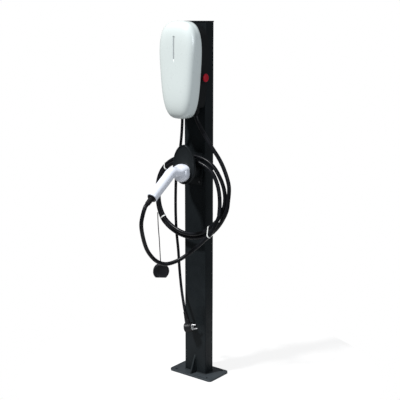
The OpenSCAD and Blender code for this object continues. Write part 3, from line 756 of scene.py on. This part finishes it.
def handle_shells():
    """The two moulded halves of the handle, from the head to the grip's end."""
    keys = spline4(HANDLE, 6)
    route = [Vector((0, -y, z)) * MM for y, z, _, _ in keys]
    shapes = [(w, h) for _, _, w, h in keys]
    end = route[-1]
    ahead = (route[-1] - route[-2]).normalized()
    for inset, reach in ((0.5, 1.0), (1.6, 1.6), (3.4, 1.8), (6.2, 1.8)):
        route.append(end + ahead * reach * MM)
        shapes.append((GRIP_R - inset, GRIP_R - inset))
    for name, sign, node in (("handle_left", -1, "gun_shell_left"), ("handle_right", 1, "gun_shell_right")):
        rings = []
        for (point, ahead, across, up), (w, h) in zip(frames_along(route, Vector((1, 0, 0))), shapes):
            side = across * sign
            rings.append([point + (side * u * w + up * v * h) * MM for u, v in half_section(w)])
        settle(loft(name, rings, "gun_white", sharp=50), node)


def half_section(width):
    """Half of a round tube as shares of its half sizes, with its seam edges eased."""
    seam = 0.16 / width
    outer = [math.radians(-90 + 180 * k / 24) for k in range(25)]
    edge = [(seam, -0.97)] + [(max(seam + 0.02 * (abs(math.sin(a)) > 0.99), math.cos(a)), math.sin(a))
                              for a in outer] + [(seam, 0.97)]
    inner = [(max(seam, 0.88 * math.cos(a)), 0.88 * math.sin(a)) for a in reversed(outer)]
    return edge + inner


def spline4(keys, steps):
    """Smooth curve through lists of four numbers."""
    front = through([Vector(k[:2] + (0,)) for k in keys], steps)
    sizes = through([Vector(k[2:] + (0,)) for k in keys], steps)
    return [(f.x, f.y, s.x, s.y) for f, s in zip(front, sizes)]


def ribbed(name, place, profile_radii, length, ribs, bore, slot, node):
    """Tapered strain relief with moulded ribs."""
    base, tip = profile_radii
    profile = [(bore, 0)]
    pitch = length / ribs
    for k in range(ribs):
        low, high = k * pitch, (k + 1) * pitch
        r = base + (tip - base) * (k + 0.5) / ribs
        profile += [(r, low + 0.12 * pitch), (r + 0.1, low + 0.2 * pitch), (r + 0.1, low + 0.55 * pitch),
                    (r - 0.2, low + 0.65 * pitch), (r - 1.3, low + 0.7 * pitch), (r - 1.4, high)]
    profile.append((bore, length))
    settle(lathe(name, profile, place, slot, joined=True, sharp=60), node)


def grip_relief():
    """Clamping ring at the grip's end, and the ribbed sleeve that holds the cable."""
    place = Matrix.Translation(grip_point(0) * MM) @ Matrix.Rotation(math.radians(90 + GRIP_SLOPE), 4, "X")
    ring = [(8, 0), (15.8, 0), (16.4, 0.6), (16.4, 5.2), (15.6, 6), (12, 6.4), (8, 6.4)]
    collar = lathe("grip_ring", ring, place, "relief_rubber", joined=True)
    ribbed("grip_relief", place @ Matrix.Translation((0, 0, 0.0064)), (10.4, 8.8), 27.6, 6,
           CHARGE_D / 2 + 0.05, "relief_rubber", "gun_strain_relief")
    settle(collar, body="gun")


# ---------------------------------------------------------------- supply plug and dust cap

def supply_plug():
    """Round plug: rubber body with a grip rim, pale contact face and neck; the face's pale grey is a painted
    highlight.
    """
    side = PLUG_PLACE @ Matrix.Rotation(math.pi / 2, 4, "Y")
    profile = [(4, -15), (13, -15)] + arc(14, -10, 5, 270, 360, 5) + [(18.4, -8), (18.4, 7), (17.4, 8.2)]
    profile += [(17.4, 9.6), (18.6, 10.8), (18.8, 13.4)] + arc(17.8, 13.9, 1.1, 0, 90, 3)
    profile += [(14.4, 15), (4, 14.6)]
    body = lathe("plug_shell", profile, side, "plug_black")
    neck = [(9.8, 12), (10, 20), (9.7, PLUG_NECK - 6), (9.2, PLUG_NECK - 2), (8.4, PLUG_NECK), (3, PLUG_NECK)]
    lathe("plug_shell_neck", neck, PLUG_PLACE, "plug_black").parent = body
    settle(body, "plug_body")
    # The contact face's pale grey is a painted highlight, standing in for the light caught on the face.
    face = lathe("plug_face", [(2, 15.2), (10.8, 15.2), (11.5, 15.4), (12.4, 15.8), (12.9, 15.5), (13, 14.4),
                               (2, 14.4)], side, "contactor_grey")
    settle(face, body="post")
    pins = None
    for k, s in enumerate((-1, 1)):
        place = (PLUG_PLACE @ Matrix.Rotation(math.radians(PINS_TURN), 4, "X")
                 @ Matrix.Translation(Vector((PLUG_HALF_T, 0, PIN_GAP / 2 * s)) * MM)
                 @ Matrix.Rotation(math.pi / 2, 4, "Y"))
        pin = lathe(f"plug_pin_{k + 1}", [(3, 0), (3, 16.4)] + arc(1.2, 16.4, 1.8, 0, 85, 6) + [(0.3, 18.9)],
                    place, "contact_metal", 32)
        if pins:
            settle(pin, body="post")
        else:
            pins = settle(pin, "plug_pins")
    return body


CAP_CENTRE = Vector((-119, -84, 404))
CAP_TURN = 35
CAP_R = 31
CAP_FLAT = 23
CAP_D = 24


def cap_section(radius, flat):
    """Round outline with a flat foot, its corners eased."""
    start = math.degrees(math.asin(flat / radius))
    ring = arc(0, 0, radius, -start + 8, 180 + start - 8, 44)
    foot = -flat
    left, right = ring[-1], ring[0]
    return ring + [(left[0] * 0.93, foot + 1.1), (left[0] * 0.8, foot), (0, foot),
                   (right[0] * 0.8, foot), (right[0] * 0.93, foot + 1.1)]


def dust_cap():
    """Rubber cap, open at the back, with a rolled rim and a slightly dished front."""
    levels = [(28, 0), (CAP_R - 0.7, 0), (CAP_R, 0.8), (CAP_R, 3.4), (30.2, 4.2), (29.8, 5), (29.8, 19),
              (29.4, 21.4), (28.2, 23.2), (26.4, CAP_D), (24.6, 23.6), (23.6, 23), (4, 22.8)]
    place = Matrix.Translation(CAP_CENTRE * MM) @ Matrix.Rotation(math.radians(CAP_TURN), 4, "Z")
    rings = [[place @ (Vector((u * r / CAP_R, CAP_D / 2 - d, v * r / CAP_R)) * MM)
              for u, v in cap_section(CAP_R, CAP_FLAT)]
             for r, d in [(28, CAP_D - 3)] + levels]
    cap = loft("rubber_cap", rings, "cap_rubber", sharp=45)
    settle(cap, "dust_cap")
    return cap


# ---------------------------------------------------------------- post and base

def weld_bead(name, corners, radius):
    """Rippled weld along a line of corners."""
    route = even([Vector(p) * MM for p in corners], 1.1 * MM)
    bead = swept(name, route,
                 lambda i: circle((radius + 0.22 * math.sin(i * 1.9) + 0.12 * math.sin(i * 0.53)) * MM, 10),
                 "powder_coat", normal=(0.1, 0.2, 1))
    settle(bead, body="post")


def welds():
    """Weld round the post's foot, and one along each side of both gussets."""
    x, y, z, corner = 50, 25, 8, 5
    loop = []
    for sx, sy, start in ((1, -1, -90), (1, 1, 0), (-1, 1, 90), (-1, -1, 180)):
        loop += [(px, py, z) for px, py in
                 arc(sx * (x - corner), sy * (y - corner), corner, start, start + 90, 6)]
    weld_bead("foot_weld", loop + loop[:1], 2.6)
    for side in (-1, 1):
        for sx in (-3, 3):
            weld_bead(f"gusset_weld_{side}_{sx}".replace("-", "m"),
                      [(sx, side * (y + 26), z), (sx, side * y, z), (sx, side * y, z + 66)], 1.7)


# ---------------------------------------------------------------- stage

FLOOR_R = 0.7


def stage():
    """Pale floor and surroundings, a sun from the front left, and a weak light from the right."""
    floor = bpy.data.meshes.new("floor")
    rim = [(FLOOR_R * math.cos(math.pi * k / 32), FLOOR_R * math.sin(math.pi * k / 32), 0) for k in range(64)]
    floor.from_pydata(rim, [], [range(64)])
    ground = bpy.data.objects.new("floor", floor)
    finish = Finish("floor_paint", (0.14, 0.14, 0.14), 0.95, Emission_Color=(1, 1, 1, 1),
                    Emission_Strength=0.86, Specular_IOR_Level=0.0)
    finish.roughness(finish.noise(0.4, 2), 0.9, 1.0)
    floor.materials.append(finish.material)
    bpy.context.scene.collection.objects.link(ground)
    surroundings()
    sun = bpy.data.lights.new("sun", "SUN")
    sun.energy = 5
    sun.angle = math.radians(6)
    fill = bpy.data.lights.new("fill", "AREA")
    fill.size = 1.4
    fill.energy = 50
    fill.color = (0.88, 0.93, 1)
    for data, place in ((sun, Vector((-0.22, -0.54, 0.81)) * 4), (fill, Vector((3.4, -0.9, 2.4)))):
        light = bpy.data.objects.new(data.name, data)
        light.location = place
        light.rotation_euler = (Vector((0, 0, 0.9 if data is fill else 0)) - place).to_track_quat(
            "-Z", "Y").to_euler()
        bpy.context.scene.collection.objects.link(light)
    bpy.context.scene.view_settings.view_transform = "Standard"


def surroundings():
    """White where it is seen itself, and dimmer as a light."""
    world = bpy.context.scene.world or bpy.data.worlds.new("world")
    bpy.context.scene.world = world
    world.use_nodes = True
    tree = world.node_tree
    dim = tree.nodes["Background"]
    dim.inputs["Color"].default_value = (0.96, 0.98, 1, 1)
    dim.inputs["Strength"].default_value = 0.26
    white = tree.nodes.new("ShaderNodeBackground")
    white.inputs["Color"].default_value = (1, 1, 1, 1)
    seen = tree.nodes.new("ShaderNodeLightPath")
    both = tree.nodes.new("ShaderNodeMixShader")
    for source, target in ((seen.outputs["Is Camera Ray"], both.inputs[0]), (dim.outputs[0], both.inputs[1]),
                           (white.outputs[0], both.inputs[2]),
                           (both.outputs[0], tree.nodes["World Output"].inputs["Surface"])):
        tree.links.new(source, target)


# ---------------------------------------------------------------- making it

def finish_cad_nodes():
    for name, node in frame["nodes"].items():
        for k in range(max(1, len(node.data.materials))):
            if k < len(node.data.materials):
                node.data.materials[k] = FINISHES[SLOT_OF[name]].material
            else:
                node.data.materials.append(FINISHES[SLOT_OF[name]].material)


def build():
    finish_cad_nodes()
    cable_ties(charging_cable())
    front_cover()
    status_light()
    for node, width in (("post_tube", 0.0004), ("post_cap", 0.0006), ("base_plate", 0.0008),
                        ("front_gusset", 0.0008), ("rear_gusset", 0.0008), ("rear_case", 0.0012),
                        ("holster_base", 0.001), ("mounting_bracket", 0.0008)):
        softened(node, width)
    gland("gland_in", -30, SUPPLY_D, "supply_gland")
    gland("gland_out", 34, CHARGE_D, "output_gland")
    stop_collar()
    stop_head()
    holster_plate()
    bell()
    handle_shells()
    grip_relief()
    plug = supply_plug()
    ribbed("plug_relief", PLUG_PLACE @ Matrix.Translation((0, 0, PLUG_NECK * MM)), (9.2, 6.8), PLUG_RELIEF, 6,
           SUPPLY_D / 2 + 0.05, "relief_rubber", "plug_strain_relief")
    supply_cable()
    cap_tether([dust_cap()])
    welds()
    stage()


build()
